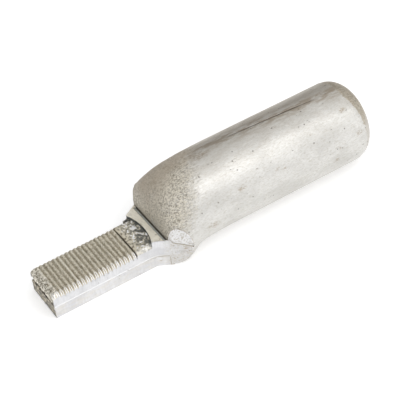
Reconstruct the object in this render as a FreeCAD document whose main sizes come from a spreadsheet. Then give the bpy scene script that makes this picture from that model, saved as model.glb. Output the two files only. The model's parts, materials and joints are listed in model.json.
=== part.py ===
import FreeCAD, Part
import math
import os
import Sketcher

# Pin lug pressed from one length of aluminium tube, in millimetres.
# The origin is the centre of the barrel's mouth, +X leaves the mouth and +Z is up.
# The tube is squeezed flat from above, blanked to the pin's width and ribbed on top.
driving_sizes = {
    "barrel_diameter": 18.0,
    "wall": 3.0,
    "barrel_length": 49.8,      # mouth to the foot of the shoulder
    "mouth_round": 4.2,         # radius that the cutter rolled onto the mouth
    "mouth_lip": 0.5,           # flat ring left around the bore
    "shoulder_run": 20.1,       # foot of the shoulder to the untouched barrel
    "shoulder_power": 3.7,      # 2 is an ellipse, larger is a blunter shoulder
    "near_foot_half": 6.3,      # half width at the foot, on the side that was squeezed harder
    "near_pinch": 1.25,         # power by which that side draws in, larger is later
    "near_corner": 1.0,         # conic weight of its upper corner at the foot
    "near_level": 0.29,         # height of its widest line, as a share of the section's height
    "far_foot_half": 8.0,
    "far_pinch": 3.4,
    "far_corner": 1.63,
    "far_level": 0.46,
    "level_settling": 0.15,     # share of the squeeze after which both lines lie at those heights
    "underside_corner": 3.6,    # conic weight of the corners pressed on the lower die
    "underside_flat": 1.5,      # foot to where the lower corners start to fade
    "underside_run": 6.7,       # foot to where the underside is round again
    "underside_fade": 1.5,      # power of that fade
    "pin_width": 9.8,
    "pin_edge": 0.9,            # rounding of the pin's long upper edges
    "rib_count": 20,
    "rib_pitch": 0.96,
    "rib_height": 0.32,
    "rib_crest": 0.34,
    "rib_flank": 0.2,
    "mark_length": 3.55,        # flat field between the ribs and the step
    "step_height": 0.9,
    "step_bow": 1.0,            # how far the step curves back at its middle
    "land_length": 2.5,         # ends of the step to the foot groove
    "groove_width": 0.45,
    "groove_depth": 0.5,
    "flare_angle": 30.0,
    "flare_round": 2.0,
    "flare_lead": 1.2,          # how much nearer to the tip the far side starts to flare
    "seam_height": 0.14,        # line where the two walls meet on the sheared sides
    "seam_depth": 0.2,
    "gape_height": 0.9,         # opening of the same seam at the tip
    "gape_depth": 4.0,
    "gape_closed": 2.4,         # width at the near side where the tip stays shut
    "bore_end_height": 1.0,     # height of the inside where the walls come together
    "bore_taper": 0.4,          # how much less radius the inside has there
}

doc = FreeCAD.newDocument("pin_lug")
sheet = doc.addObject("Spreadsheet::Sheet", "sizes")
for row, (name, number) in enumerate(driving_sizes.items(), start=1):
    sheet.set(f"A{row}", name)
    sheet.set(f"B{row}", str(number))
    sheet.setAlias(f"B{row}", name)
doc.recompute()

# Places that several features share, as expressions of the sizes
radius = "sizes.barrel_diameter / 2"
bottom = f"-{radius}"
pin_top = f"(2 * sizes.wall - {radius})"
land_top = f"({pin_top} + sizes.step_height)"
foot = "-sizes.barrel_length"
step_side = f"({foot} - sizes.land_length - sizes.groove_width)"
rib_end = f"({step_side} - sizes.mark_length)"
tip = f"({rib_end} - sizes.rib_count * sizes.rib_pitch)"
shoulder_start = f"({foot} + sizes.shoulder_run)"
seam_level = f"(sizes.wall - {radius})"
blank_reach = f"({radius} + sizes.wall)"
blank_back = f"({shoulder_start} + sizes.wall)"
bore_radius = f"({radius} - sizes.wall)"
bore_end = f"({foot} + sizes.wall)"
bore_turn = f"({bore_radius} - {seam_level} - sizes.bore_end_height)"
bore_round_end = f"({bore_end} + {bore_turn})"
land_overlap = "sizes.wall / 5"
gape_margin = "sizes.wall"

# How the squeezed tube is described
ring_turn = 10                  # degrees of the shoulder's curve between two rings
round_weight = math.sqrt(0.5)   # conic weight that makes a quarter of a ring circular
half_way = 0.5                  # height of a round section's widest line, as a share of its height


def value(expression):
    return float(sheet.evalExpression(expression))


def origin_plane(body, role):
    return next(item for item in body.Origin.OriginFeatures if item.Role == role)


def new_sketch(body, name, role, offset="0"):
    sketch = body.newObject("Sketcher::SketchObject", name)
    sketch.AttachmentSupport = [(origin_plane(body, role), "")]
    sketch.MapMode = "FlatFace"
    sketch.setExpression("AttachmentOffset.Base.z", offset)
    return sketch


def hold(sketch, kind, *items, size):
    """Add one driven dimension, its value an expression of the sheet."""
    start = math.radians(value(size)) if kind == "Angle" else value(size)
    index = sketch.addConstraint(Sketcher.Constraint(kind, *items, start))
    sketch.setExpression(f"Constraints[{index}]", size)


def chain(sketch, edges):
    """Draw edges that follow each other and return their numbers in the sketch."""
    first = sketch.GeometryCount
    for edge in edges:
        sketch.addGeometry(edge, False)
    return list(range(first, sketch.GeometryCount))


def join(sketch, *corners):
    for one, one_end, other, other_end in corners:
        sketch.addConstraint(Sketcher.Constraint("Coincident", one, one_end, other, other_end))


def line(x1, y1, x2, y2):
    return Part.LineSegment(FreeCAD.Vector(x1, y1, 0), FreeCAD.Vector(x2, y2, 0))


def arc(x, y, round_radius, start, end):
    circle = Part.Circle(FreeCAD.Vector(x, y, 0), FreeCAD.Vector(0, 0, 1), round_radius)
    return Part.ArcOfCircle(circle, math.radians(start), math.radians(end))


def barrel_body():
    """Round barrel from the shoulder to the mouth, whose outer edge is rolled in."""
    body = doc.addObject("PartDesign::Body", "barrel")
    sketch = new_sketch(body, "barrel_profile", "XZ_Plane")
    r, left = value(radius), value(shoulder_start)
    rim, ring = value("sizes.mouth_round"), value(f"{radius} - sizes.wall + sizes.mouth_lip")
    end = math.degrees(math.asin((ring - r + rim) / rim))
    reach = rim * math.cos(math.radians(end))
    axis, back, top, curve, front = chain(sketch, [
        line(left, 0, 0, 0), line(left, 0, left, r), line(left, r, -reach, r),
        arc(-reach, r - rim, rim, end, 90), line(0, 0, 0, ring)])
    join(sketch, (axis, 1, back, 1), (back, 2, top, 1), (axis, 2, front, 1), (curve, 1, front, 2))
    sketch.addConstraint(Sketcher.Constraint("Tangent", top, 2, curve, 2))
    sketch.addConstraint(Sketcher.Constraint("Horizontal", axis))
    sketch.addConstraint(Sketcher.Constraint("Horizontal", top))
    sketch.addConstraint(Sketcher.Constraint("Vertical", back))
    sketch.addConstraint(Sketcher.Constraint("Vertical", front))
    sketch.addConstraint(Sketcher.Constraint("Coincident", axis, 2, -1, 1))
    hold(sketch, "DistanceY", back, 1, back, 2, size=radius)
    hold(sketch, "DistanceX", axis, 1, axis, 2, size=f"-{shoulder_start}")
    hold(sketch, "Radius", curve, size="sizes.mouth_round")
    hold(sketch, "DistanceY", front, 1, front, 2, size=f"{radius} - sizes.wall + sizes.mouth_lip")
    turned = body.newObject("PartDesign::Revolution", "barrel_turned")
    turned.Profile = sketch
    turned.ReferenceAxis = (sketch, ["H_Axis"])
    turned.Angle = 360
    return body


def pin_section(body, name, place, top):
    """Cross-section of the pin: square below, with rounded long edges on top."""
    sketch = new_sketch(body, name, "YZ_Plane", place)
    half, low, high, edge = value("sizes.pin_width / 2"), value(bottom), value(top), value("sizes.pin_edge")
    base, near, left, crown, right, far = chain(sketch, [
        line(-half, low, half, low), line(half, low, half, high - edge),
        arc(half - edge, high - edge, edge, 0, 90), line(half - edge, high, edge - half, high),
        arc(edge - half, high - edge, edge, 90, 180), line(-half, high - edge, -half, low)])
    join(sketch, (base, 2, near, 1), (far, 2, base, 1))
    for one, one_end, other, other_end in (
            (near, 2, left, 1), (left, 2, crown, 1), (crown, 2, right, 1), (right, 2, far, 1)):
        sketch.addConstraint(Sketcher.Constraint("Tangent", one, one_end, other, other_end))
    sketch.addConstraint(Sketcher.Constraint("Symmetric", base, 1, base, 2, -2))
    sketch.addConstraint(Sketcher.Constraint("Vertical", near))
    sketch.addConstraint(Sketcher.Constraint("Vertical", far))
    sketch.addConstraint(Sketcher.Constraint("Equal", left, right))
    hold(sketch, "DistanceX", base, 1, base, 2, size="sizes.pin_width")
    hold(sketch, "DistanceY", -1, 1, base, 1, size=bottom)
    hold(sketch, "DistanceY", -1, 1, crown, 1, size=top)
    hold(sketch, "Radius", left, size="sizes.pin_edge")
    return sketch


def pin_body():
    """Flat pin, two walls thick, with pressed ribs that wrap over its upper edges."""
    body = doc.addObject("PartDesign::Body", "pin")
    root = f"({pin_top} - sizes.rib_height)"
    core = body.newObject("PartDesign::Pad", "pin_core")
    core.Profile = pin_section(body, "core_section", tip, root)
    core.setExpression("Length", f"{step_side} - {tip} + sizes.land_length / 2")
    field = body.newObject("PartDesign::Pad", "mark_field")
    field.Profile = pin_section(body, "field_section", rib_end, pin_top)
    field.setExpression("Length", "sizes.mark_length + sizes.land_length / 2")
    first = f"({tip} + (sizes.rib_pitch - sizes.rib_crest) / 2 - sizes.rib_flank)"
    rib = body.newObject("PartDesign::AdditiveLoft", "rib")
    rib.Profile = pin_section(body, "rib_start", first, root)
    rib.Sections = [
        pin_section(body, "rib_crest_start", f"{first} + sizes.rib_flank", pin_top),
        pin_section(body, "rib_crest_end", f"{first} + sizes.rib_flank + sizes.rib_crest", pin_top),
        pin_section(body, "rib_stop", f"{first} + 2 * sizes.rib_flank + sizes.rib_crest", root)]
    rib.Ruled = True
    doc.recompute()
    ribs = body.newObject("PartDesign::LinearPattern", "ribs")
    ribs.Originals = [rib]
    ribs.Direction = (origin_plane(body, "YZ_Plane"), [""])
    ribs.setExpression("Occurrences", "sizes.rib_count")
    ribs.setExpression("Length", "(sizes.rib_count - 1) * sizes.rib_pitch")
    body.Tip = ribs
    return body


def ring_poles(x, top, base, far, near):
    """Poles and weights of a closed section of four conic quarters, from the far side round.

    A side is its half width, the height of its widest line and its upper and lower corner weights.
    """
    (far_half, far_line, far_upper, far_lower), (near_half, near_line, near_upper, near_lower) = far, near
    poles = ((far_half, far_line, 1), (far_half, top, far_upper), (0, top, 1),
             (-near_half, top, near_upper), (-near_half, near_line, 1), (-near_half, base, near_lower),
             (0, base, 1), (far_half, base, far_lower), (far_half, far_line, 1))
    return [(FreeCAD.Vector(x, y, z), weight) for y, z, weight in poles]


def shoulder_rings():
    """Sections of the squeezed tube from its round start down to its foot."""
    r, low, foot_level = value(radius), value(bottom), value(f"{land_top} - sizes.groove_depth")
    start, stop = value(shoulder_start), value(foot)
    power = 2 / value("sizes.shoulder_power")
    underside, flat, run, fade = (value(f"sizes.underside_{size}")
                                  for size in ("corner", "flat", "run", "fade"))
    far, near = ([value(f"sizes.{side}_{size}") for size in ("foot_half", "pinch", "corner", "level")]
                 for side in ("far", "near"))
    rings = []
    for degrees in range(0, 90 + ring_turn, ring_turn):
        angle = math.radians(min(degrees, 90))
        x = start - (start - stop) * math.sin(angle) ** power
        top = foot_level + (r - foot_level) * max(0, math.cos(angle)) ** power
        squeeze = (r - top) / (r - foot_level)
        settled = min(1, max(0, (run - (x - stop)) / (run - flat))) ** fade
        drawn = min(1, squeeze / value("sizes.level_settling"))
        sides = []
        for foot_half, pinch, corner, share in (far, near):
            half = r + (foot_half - r) * squeeze ** pinch
            line_height = low + (half_way + (share - half_way) * drawn) * (top - low)
            upper = round_weight + (corner - round_weight) * squeeze
            lower = round_weight + (underside - round_weight) * settled
            sides.append((half, line_height, upper, lower))
        rings.append(ring_poles(x, top, low, *sides))
    return rings


def skin(name, rings):
    """Solid with one smooth face for each quarter of its rings, and flat ends."""
    knots = [number / (len(rings) - 3) for number in range(len(rings) - 2)]
    times = [4] + [1] * (len(knots) - 2) + [4]
    faces, ends = [], ([], [])
    for first in range(0, 8, 2):
        quarter = Part.BSplineSurface()
        quarter.buildFromPolesMultsKnots(
            [[ring[first + step][0] for ring in rings] for step in range(3)], [3, 3], times, [0, 1], knots,
            False, False, 2, 3, [[ring[first + step][1] for ring in rings] for step in range(3)])
        faces.append(quarter.toShape())
        for end, place in zip(ends, (0, 1)):
            end.append(quarter.vIso(place).toShape())
    for end in ends:
        faces.append(Part.Face(Part.Wire(Part.__sortEdges__(end))))
    shell = Part.makeShell(faces)
    shell.sewShape()
    shape = doc.addObject("Part::Feature", name)
    shape.Shape = Part.makeSolid(shell)
    return shape


def blank_plan(body, name, inset):
    """Plan of the blanking cut from the step back to the barrel, seen from above."""
    sketch = new_sketch(body, name, "XY_Plane", bottom)
    half, side = value(f"sizes.pin_width / 2 - {inset}"), value(step_side)
    reach, back = value(blank_reach), value(blank_back)
    corner, lean = value("sizes.flare_round"), value("sizes.flare_angle")
    run_x = side + corner * math.sin(math.radians(lean))
    run_y = half + corner * (1 - math.cos(math.radians(lean)))
    wide_x = run_x + (reach - run_y) / math.tan(math.radians(lean))
    lead = value("sizes.flare_lead")
    bow = Part.Arc(FreeCAD.Vector(side, half, 0), FreeCAD.Vector(side + value("sizes.step_bow"), 0, 0),
                   FreeCAD.Vector(side, -half, 0))
    front, near_round, near_lean, near_side, rear, far_side, far_lean, far_round, lip = chain(sketch, [
        bow, arc(side, -half - corner, corner, 90 - lean, 90), line(run_x, -run_y, wide_x, -reach),
        line(wide_x, -reach, back, -reach), line(back, -reach, back, reach),
        line(back, reach, wide_x - lead, reach), line(wide_x - lead, reach, run_x - lead, run_y),
        arc(side - lead, half + corner, corner, 270, 270 + lean), line(side - lead, half, side, half)])
    join(sketch, (near_lean, 2, near_side, 1), (near_side, 2, rear, 1), (rear, 2, far_side, 1),
         (far_side, 2, far_lean, 1), (near_round, 2, front, 1), (far_round, 1, lip, 1), (lip, 2, front, 2))
    sketch.addConstraint(Sketcher.Constraint("Tangent", near_round, 1, near_lean, 1))
    sketch.addConstraint(Sketcher.Constraint("Tangent", far_round, 2, far_lean, 2))
    sketch.addConstraint(Sketcher.Constraint("Vertical", near_round, 2, near_round, 3))
    sketch.addConstraint(Sketcher.Constraint("Vertical", far_round, 1, far_round, 3))
    sketch.addConstraint(Sketcher.Constraint("Horizontal", near_side))
    sketch.addConstraint(Sketcher.Constraint("Horizontal", far_side))
    sketch.addConstraint(Sketcher.Constraint("Horizontal", lip))
    sketch.addConstraint(Sketcher.Constraint("Vertical", rear))
    hold(sketch, "DistanceX", -1, 1, front, 1, size=step_side)
    hold(sketch, "DistanceX", -1, 1, front, 2, size=step_side)
    hold(sketch, "DistanceX", -1, 1, lip, 1, size=f"{step_side} - sizes.flare_lead")
    hold(sketch, "DistanceX", -1, 1, rear, 1, size=blank_back)
    hold(sketch, "Radius", near_round, size="sizes.flare_round")
    hold(sketch, "Radius", far_round, size="sizes.flare_round")
    return sketch


def blank_body(name, height, inset="0"):
    """Upright prism of the blanking cut, from the underside up."""
    body = doc.addObject("PartDesign::Body", name)
    block = body.newObject("PartDesign::Pad", f"{name}_block")
    block.Profile = blank_plan(body, f"{name}_plan", inset)
    block.setExpression("Length", height)
    return body


def box(name, low_x, high_x, half_y, low_z, high_z):
    """Box that lies across the lug, its faces at expressions of the sizes."""
    shape = doc.addObject("Part::Box", name)
    shape.setExpression("Length", f"{high_x} - ({low_x})")
    shape.setExpression("Width", f"2 * ({half_y})")
    shape.setExpression("Height", f"{high_z} - ({low_z})")
    shape.setExpression("Placement.Base.x", low_x)
    shape.setExpression("Placement.Base.y", f"-({half_y})")
    shape.setExpression("Placement.Base.z", low_z)
    return shape


def joined(name, shapes):
    shape = doc.addObject("Part::MultiFuse", name)
    shape.Shapes = shapes
    return shape


def common(name, base, tool):
    shape = doc.addObject("Part::Common", name)
    shape.Base = base
    shape.Tool = tool
    return shape


def cut(name, base, tool):
    shape = doc.addObject("Part::Cut", name)
    shape.Base = base
    shape.Tool = tool
    return shape


def neck():
    """Squeezed shoulder and the flat land in front of it, trimmed by the blanking cut."""
    land = box("land", step_side, f"{foot} + {land_overlap}", blank_reach, bottom, land_top)
    apron = box("apron", f"{step_side} - sizes.wall", f"{step_side} + {land_overlap}",
                blank_reach, bottom, pin_top)
    squeezed = joined("squeezed_tube", [land, apron, skin("shoulder", shoulder_rings())])
    return common("neck", squeezed, blank_body("blank", f"2 * {blank_reach}"))


def turned_along_x(shape, length, place):
    """Lay an upright cylinder or cone along the bore, its base at the given place."""
    shape.setExpression("Height", length)
    shape.Placement.Rotation = FreeCAD.Rotation(FreeCAD.Vector(0, 1, 0), 90)
    shape.setExpression("Placement.Base.x", place)
    return shape


def bore():
    """Round bore, then a taper that the upper wall closes where it was pressed onto the lower one."""
    straight = turned_along_x(doc.addObject("Part::Cylinder", "bore_round"),
                              f"sizes.wall - {bore_round_end}", bore_round_end)
    straight.setExpression("Radius", bore_radius)
    taper = turned_along_x(doc.addObject("Part::Cone", "bore_taper"), bore_turn, bore_end)
    taper.setExpression("Radius1", f"{bore_radius} - sizes.bore_taper")
    taper.setExpression("Radius2", bore_radius)
    body = doc.addObject("PartDesign::Body", "bore_side")
    sketch = new_sketch(body, "bore_side_profile", "XZ_Plane", bottom)
    x, high, turn = value(bore_end), value(bore_radius), value(bore_turn)
    floor, mouth, curve, end = chain(sketch, [
        line(x, -high, x + turn, -high), line(x + turn, -high, x + turn, high),
        arc(x + turn, high - turn, turn, 90, 180), line(x, high - turn, x, -high)])
    join(sketch, (floor, 2, mouth, 1), (mouth, 2, curve, 1), (end, 2, floor, 1))
    sketch.addConstraint(Sketcher.Constraint("Vertical", curve, 1, curve, 3))
    sketch.addConstraint(Sketcher.Constraint("Tangent", curve, 2, end, 1))
    sketch.addConstraint(Sketcher.Constraint("Horizontal", floor))
    sketch.addConstraint(Sketcher.Constraint("Vertical", mouth))
    sketch.addConstraint(Sketcher.Constraint("Vertical", end))
    hold(sketch, "DistanceX", -1, 1, floor, 1, size=bore_end)
    hold(sketch, "DistanceY", floor, 2, -1, 1, size=bore_radius)
    hold(sketch, "DistanceY", -1, 1, mouth, 2, size=bore_radius)
    hold(sketch, "Radius", curve, size=bore_turn)
    side = body.newObject("PartDesign::Pad", "bore_side_pad")
    side.Profile = sketch
    side.setExpression("Length", "sizes.barrel_diameter")
    return joined("bore", [straight, common("bore_closing", taper, body)])


def foot_groove():
    """Narrow groove that the press edge left at the foot of the shoulder."""
    return box("foot_groove", f"{foot} - sizes.groove_width", foot,
               "sizes.near_foot_half - sizes.groove_width",
               f"{land_top} - sizes.groove_depth", f"{land_top} + sizes.groove_depth")


def seam():
    """Shallow line round the sheared sides where the upper wall lies on the lower one."""
    low, high = f"{seam_level} - sizes.seam_height / 2", f"{seam_level} + sizes.seam_height / 2"
    slab = box("seam_slab", f"{tip} - sizes.wall", foot, blank_reach, low, high)
    inner_pin = box("seam_pin_core", f"{tip} - 2 * sizes.wall", f"{step_side} + sizes.seam_depth",
                    "sizes.pin_width / 2 - sizes.seam_depth", bottom, pin_top)
    inner_neck = blank_body("seam_neck_core", "2 * sizes.wall", "sizes.seam_depth")
    return cut("seam", slab, joined("seam_core", [inner_pin, inner_neck]))


def gape():
    """Wedge-shaped opening between the walls at the tip, shut at the near side."""
    body = doc.addObject("PartDesign::Body", "gape")
    margin = f"(sizes.pin_width / 2 + {gape_margin})"
    sketch = new_sketch(body, "gape_profile", "XZ_Plane", f"-{margin}")
    x, end = value(tip), value(f"{tip} + sizes.gape_depth")
    level, half = value(seam_level), value("sizes.gape_height / 2")
    mouth, upper, lower = chain(sketch, [
        line(x, level - half, x, level + half), line(x, level + half, end, level),
        line(end, level, x, level - half)])
    join(sketch, (mouth, 2, upper, 1), (upper, 2, lower, 1), (lower, 2, mouth, 1))
    sketch.addConstraint(Sketcher.Constraint("Vertical", mouth))
    sketch.addConstraint(Sketcher.Constraint("Equal", upper, lower))
    hold(sketch, "DistanceX", -1, 1, mouth, 1, size=tip)
    hold(sketch, "DistanceY", mouth, 1, mouth, 2, size="sizes.gape_height")
    hold(sketch, "DistanceX", mouth, 1, lower, 1, size="sizes.gape_depth")
    hold(sketch, "DistanceY", -1, 1, lower, 1, size=seam_level)
    opening = body.newObject("PartDesign::Pad", "gape_opening")
    opening.Profile = sketch
    opening.setExpression("Length", f"{margin} + sizes.pin_width / 2 - sizes.gape_closed")
    return body


def check_document():
    """Stop before anything is written if a feature failed."""
    for item in doc.Objects:
        if "Invalid" in item.State or "Error" in item.State:
            raise RuntimeError(f"{item.Name} is not built: {item.getStatusString()}")
    for item in doc.Objects:
        if hasattr(item, "Shape") and item.isDerivedFrom("Part::Feature") and item.Shape.isNull():
            raise RuntimeError(f"{item.Name} has no shape")


whole = joined("whole", [pin_body(), neck(), barrel_body()])
lug = cut("pin_lug", whole, joined("openings", [bore(), foot_groove(), seam(), gape()]))
lug.Refine = True
lug.Label = "pin_lug"
doc.recompute()
check_document()

if not lug.Shape.isValid() or len(lug.Shape.Solids) != 1:
    raise RuntimeError(f"pin_lug is not one valid solid: {len(lug.Shape.Solids)}")
bored = math.pi * value(f"-{bore_round_end} * {bore_radius} ^ 2")
if lug.Shape.Volume >= whole.Shape.Volume - bored:
    raise RuntimeError("the bore and the openings didn't cut")

os.makedirs("parts", exist_ok=True)
lug.Shape.exportStep(f"parts/{lug.Label}.step")
extent = lug.Shape.optimalBoundingBox()
print(f"pin_lug: {extent.XLength:.2f} x {extent.YLength:.2f} x {extent.ZLength:.2f} mm,"
      f" {lug.Shape.Volume:.0f} mm3, {len(lug.Shape.Faces)} faces")
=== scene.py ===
import bisect
import json
import math
import random

import bmesh
import bpy
from mathutils import Matrix, Vector, noise


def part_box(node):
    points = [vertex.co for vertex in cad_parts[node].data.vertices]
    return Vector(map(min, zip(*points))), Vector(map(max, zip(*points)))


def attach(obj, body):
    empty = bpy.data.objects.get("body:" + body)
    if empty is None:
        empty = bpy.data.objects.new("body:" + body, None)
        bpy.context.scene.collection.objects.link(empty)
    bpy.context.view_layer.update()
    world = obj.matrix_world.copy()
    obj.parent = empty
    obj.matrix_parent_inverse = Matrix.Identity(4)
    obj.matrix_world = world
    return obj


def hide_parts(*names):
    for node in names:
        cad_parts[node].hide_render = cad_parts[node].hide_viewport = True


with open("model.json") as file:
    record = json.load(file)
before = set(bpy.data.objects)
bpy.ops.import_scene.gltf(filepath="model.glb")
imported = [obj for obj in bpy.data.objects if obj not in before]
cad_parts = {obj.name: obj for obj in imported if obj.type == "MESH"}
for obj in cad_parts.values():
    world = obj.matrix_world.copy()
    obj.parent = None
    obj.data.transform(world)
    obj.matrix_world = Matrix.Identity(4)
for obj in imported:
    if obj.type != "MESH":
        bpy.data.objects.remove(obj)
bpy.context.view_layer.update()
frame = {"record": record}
print("stage: frame loaded")

mm = 0.001
hair = 0.01  # mm, a tolerance for places that are meant to be the same
cadLow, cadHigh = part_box("pin_lug")
tip = cadLow.x / mm
boreMount = next(m for m in frame["record"]["mounts"] if m["name"] == "cable_bore")
kinds = ["drawnTube", "pressedTop", "shearedSide", "tornTip", "boreWall"]  # each is a finish of its own
random.seed(7)


def newMesh(name, bm, kind=None):
    if kind is not None:
        for face in bm.faces:
            face.material_index = kinds.index(kind)
    mesh = bpy.data.meshes.new(name)
    for slot in kinds:
        mesh.materials.append(bpy.data.materials.get(slot) or bpy.data.materials.new(slot))
    bm.to_mesh(mesh)
    bm.free()
    piece = bpy.data.objects.new(name, mesh)
    bpy.context.scene.collection.objects.link(piece)
    return piece


def smoothStep(low, high, value):
    share = min(1, max(0, (value - low) / (high - low)))
    return share * share * (3 - 2 * share)


def evenParameters(curve, spacing, samples=400):  # parameters from 0 to 1 that split a curve evenly
    spots = [curve(i / samples) for i in range(samples + 1)]
    travelled = [0.0]
    for one, two in zip(spots, spots[1:]):
        travelled.append(travelled[-1] + math.dist(one, two))
    count = max(1, round(travelled[-1] / spacing))
    values = []
    for i in range(count + 1):
        target = travelled[-1] * i / count
        k = min(max(bisect.bisect_left(travelled, target), 1), samples)
        share = (target - travelled[k - 1]) / max(travelled[k] - travelled[k - 1], 1e-9)
        values.append((k - 1 + share) / samples)
    return values


def spun(name, profile, turns, kind, shape):  # (x, radius, turn) points spun about X, then shaped
    bm = bmesh.new()
    turnLayer = bm.verts.layers.float.new("turn")
    verts = []
    for x, r, turn in profile:
        v = bm.verts.new((x, 0, r))
        v[turnLayer] = turn
        verts.append(v)
    edges = [bm.edges.new(pair) for pair in zip(verts, verts[1:])]
    bmesh.ops.spin(bm, geom=verts + edges, cent=(0, 0, 0), axis=(1, 0, 0), dvec=(0, 0, 0),
                   angle=2 * math.pi, steps=turns, use_merge=True, use_duplicate=False)
    shape(bm, turnLayer)
    bmesh.ops.remove_doubles(bm, verts=bm.verts, dist=1e-4)
    bmesh.ops.recalc_face_normals(bm, faces=bm.faces)
    return newMesh(name, bm, kind)


tube = {  # the drawn tube and its squeezed shoulder, in mm
    "radius": cadHigh.y / mm,
    "shoulderStart": -29.7,
    "foot": -49.8,
    "footLevel": -2.6,
    "power": 3.64,  # bluntness of the shoulder
    "far": {"half": 8.0, "pinch": 3.4, "upper": 1.63, "line": 0.46},
    "near": {"half": 6.3, "pinch": 1.25, "upper": 1.0, "line": 0.29},  # the side squeezed harder
    "lineSettling": 0.15,
    "lowerCorner": 3.6,
    "lowerFlat": 1.5,
    "lowerRun": 6.7,
    "lowerFade": 1.5,
    "rimRound": 4.2,
    "rimRing": 6.5,
    "rimStep": 0.06,  # height of the crisp line where the cutter bit
    "turns": 216,
    "shoulderStep": 0.34,
    "barrelStep": 0.5,
    "rimSteps": 16,
    "sectionStep": 0.01,
    "sectionSamples": 90,
}
bottom = -tube["radius"]
roundWeight = math.sqrt(0.5)  # of a conic corner that is a quarter of a circle
onBarrel = -1  # the turn of a ring that isn't squeezed


def squeezedStation(turn):  # x, top and both sides of one ring of the shoulder
    radius, level = tube["radius"], tube["footLevel"]
    start, stop = tube["shoulderStart"], tube["foot"]
    x = start - (start - stop) * math.sin(turn) ** (2 / tube["power"])
    top = level + (radius - level) * max(math.cos(turn), 0) ** (2 / tube["power"])
    squeeze = max(0, (radius - top) / (radius - level))
    settled = (tube["lowerRun"] - (x - stop)) / (tube["lowerRun"] - tube["lowerFlat"])
    settled = min(1, max(0, settled)) ** tube["lowerFade"]
    drawn = min(1, squeeze / tube["lineSettling"])
    sides = []
    for side in (tube["far"], tube["near"]):
        half = radius + (side["half"] - radius) * squeeze ** side["pinch"]
        line = bottom + (0.5 + (side["line"] - 0.5) * drawn) * (top - bottom)
        sides.append((half, line, roundWeight + (side["upper"] - roundWeight) * squeeze,
                      roundWeight + (tube["lowerCorner"] - roundWeight) * settled))
    return x, top, sides


def conicQuarter(t, half, height, weight):  # from the side at t 0 to the crown or base at t 1
    side, bend, crown = (1 - t) ** 2, 2 * t * (1 - t) * weight, t ** 2
    total = side + bend + crown
    return half * (side + bend) / total, height * (bend + crown) / total


def squeezeTube(bm, turnLayer):  # moves each spun ring onto its own squeezed section
    tables = {}
    for v in bm.verts:
        if v[turnLayer] < 0:
            continue
        key = round(v[turnLayer], 5)
        if key not in tables:
            x, top, sides = squeezedStation(v[turnLayer])
            quarters = []
            for half, line, upper, lower in sides:
                for height, weight in ((top - line, upper), (bottom - line, lower)):
                    even = evenParameters(lambda t: conicQuarter(t, half, height, weight),
                                          tube["sectionStep"], tube["sectionSamples"])
                    quarters.append((half, line, height, weight, even))
            tables[key] = (x, (top + bottom) / 2, quarters)
        x, middle, quarters = tables[key]
        radius = math.hypot(v.co.y, v.co.z)
        if radius < 1e-4:
            v.co = (x, 0, middle)
            continue
        quarter = (0 if v.co.y >= 0 else 2) + (0 if v.co.z >= 0 else 1)
        half, line, height, weight, even = quarters[quarter]
        place = math.asin(min(1, abs(v.co.z) / radius)) / (math.pi / 2) * (len(even) - 1)
        k = min(int(place), len(even) - 2)
        y, z = conicQuarter(even[k] + (even[k + 1] - even[k]) * (place - k), half, height, weight)
        v.co = (x, math.copysign(y, v.co.y), line + z)


def makeTube():
    radius, start, rim = tube["radius"], tube["shoulderStart"], tube["rimRound"]
    quarter = math.pi / 2
    profile = [(tube["foot"], 0, quarter)]
    path = evenParameters(lambda t: squeezedStation(t * quarter)[:2], tube["shoulderStep"])
    profile += [(0, radius, t * quarter) for t in reversed(path[1:])]
    rimEnd = math.asin((tube["rimRing"] - radius + rim) / rim)
    rimStart = -rim * math.cos(rimEnd)
    straight = round((rimStart - start) / tube["barrelStep"])
    profile += [(start + (rimStart - start) * i / straight, radius, onBarrel)
                for i in range(straight + 1)]
    for i in range(tube["rimSteps"] + 1):
        a = quarter + (rimEnd - quarter) * i / tube["rimSteps"]
        bite = tube["rimStep"] * (1 - i / tube["rimSteps"])
        ahead = tube["rimStep"] if i == 0 else 0
        x, r = rimStart + rim * math.cos(a) + ahead, radius - rim + rim * math.sin(a) - bite
        profile.append((x, r, onBarrel))
    profile.append((0, 0, onBarrel))
    return spun("tube", profile, tube["turns"], "drawnTube", squeezeTube)


bore = {  # the blind bore, closed where the walls come together, in mm
    "radius": boreMount["dims"]["r_mm"],
    "roundEnd": -boreMount["dims"]["length_mm"],
    "end": -46.8,
    "endLevel": -5.0,
    "endDrop": 0.3,
    "taper": 0.4,
    "edge": 0.14,  # chamfer of the mouth's inner edge
    "turns": 72,
    "step": 1.1,
    "closingSteps": 16,
}


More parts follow.
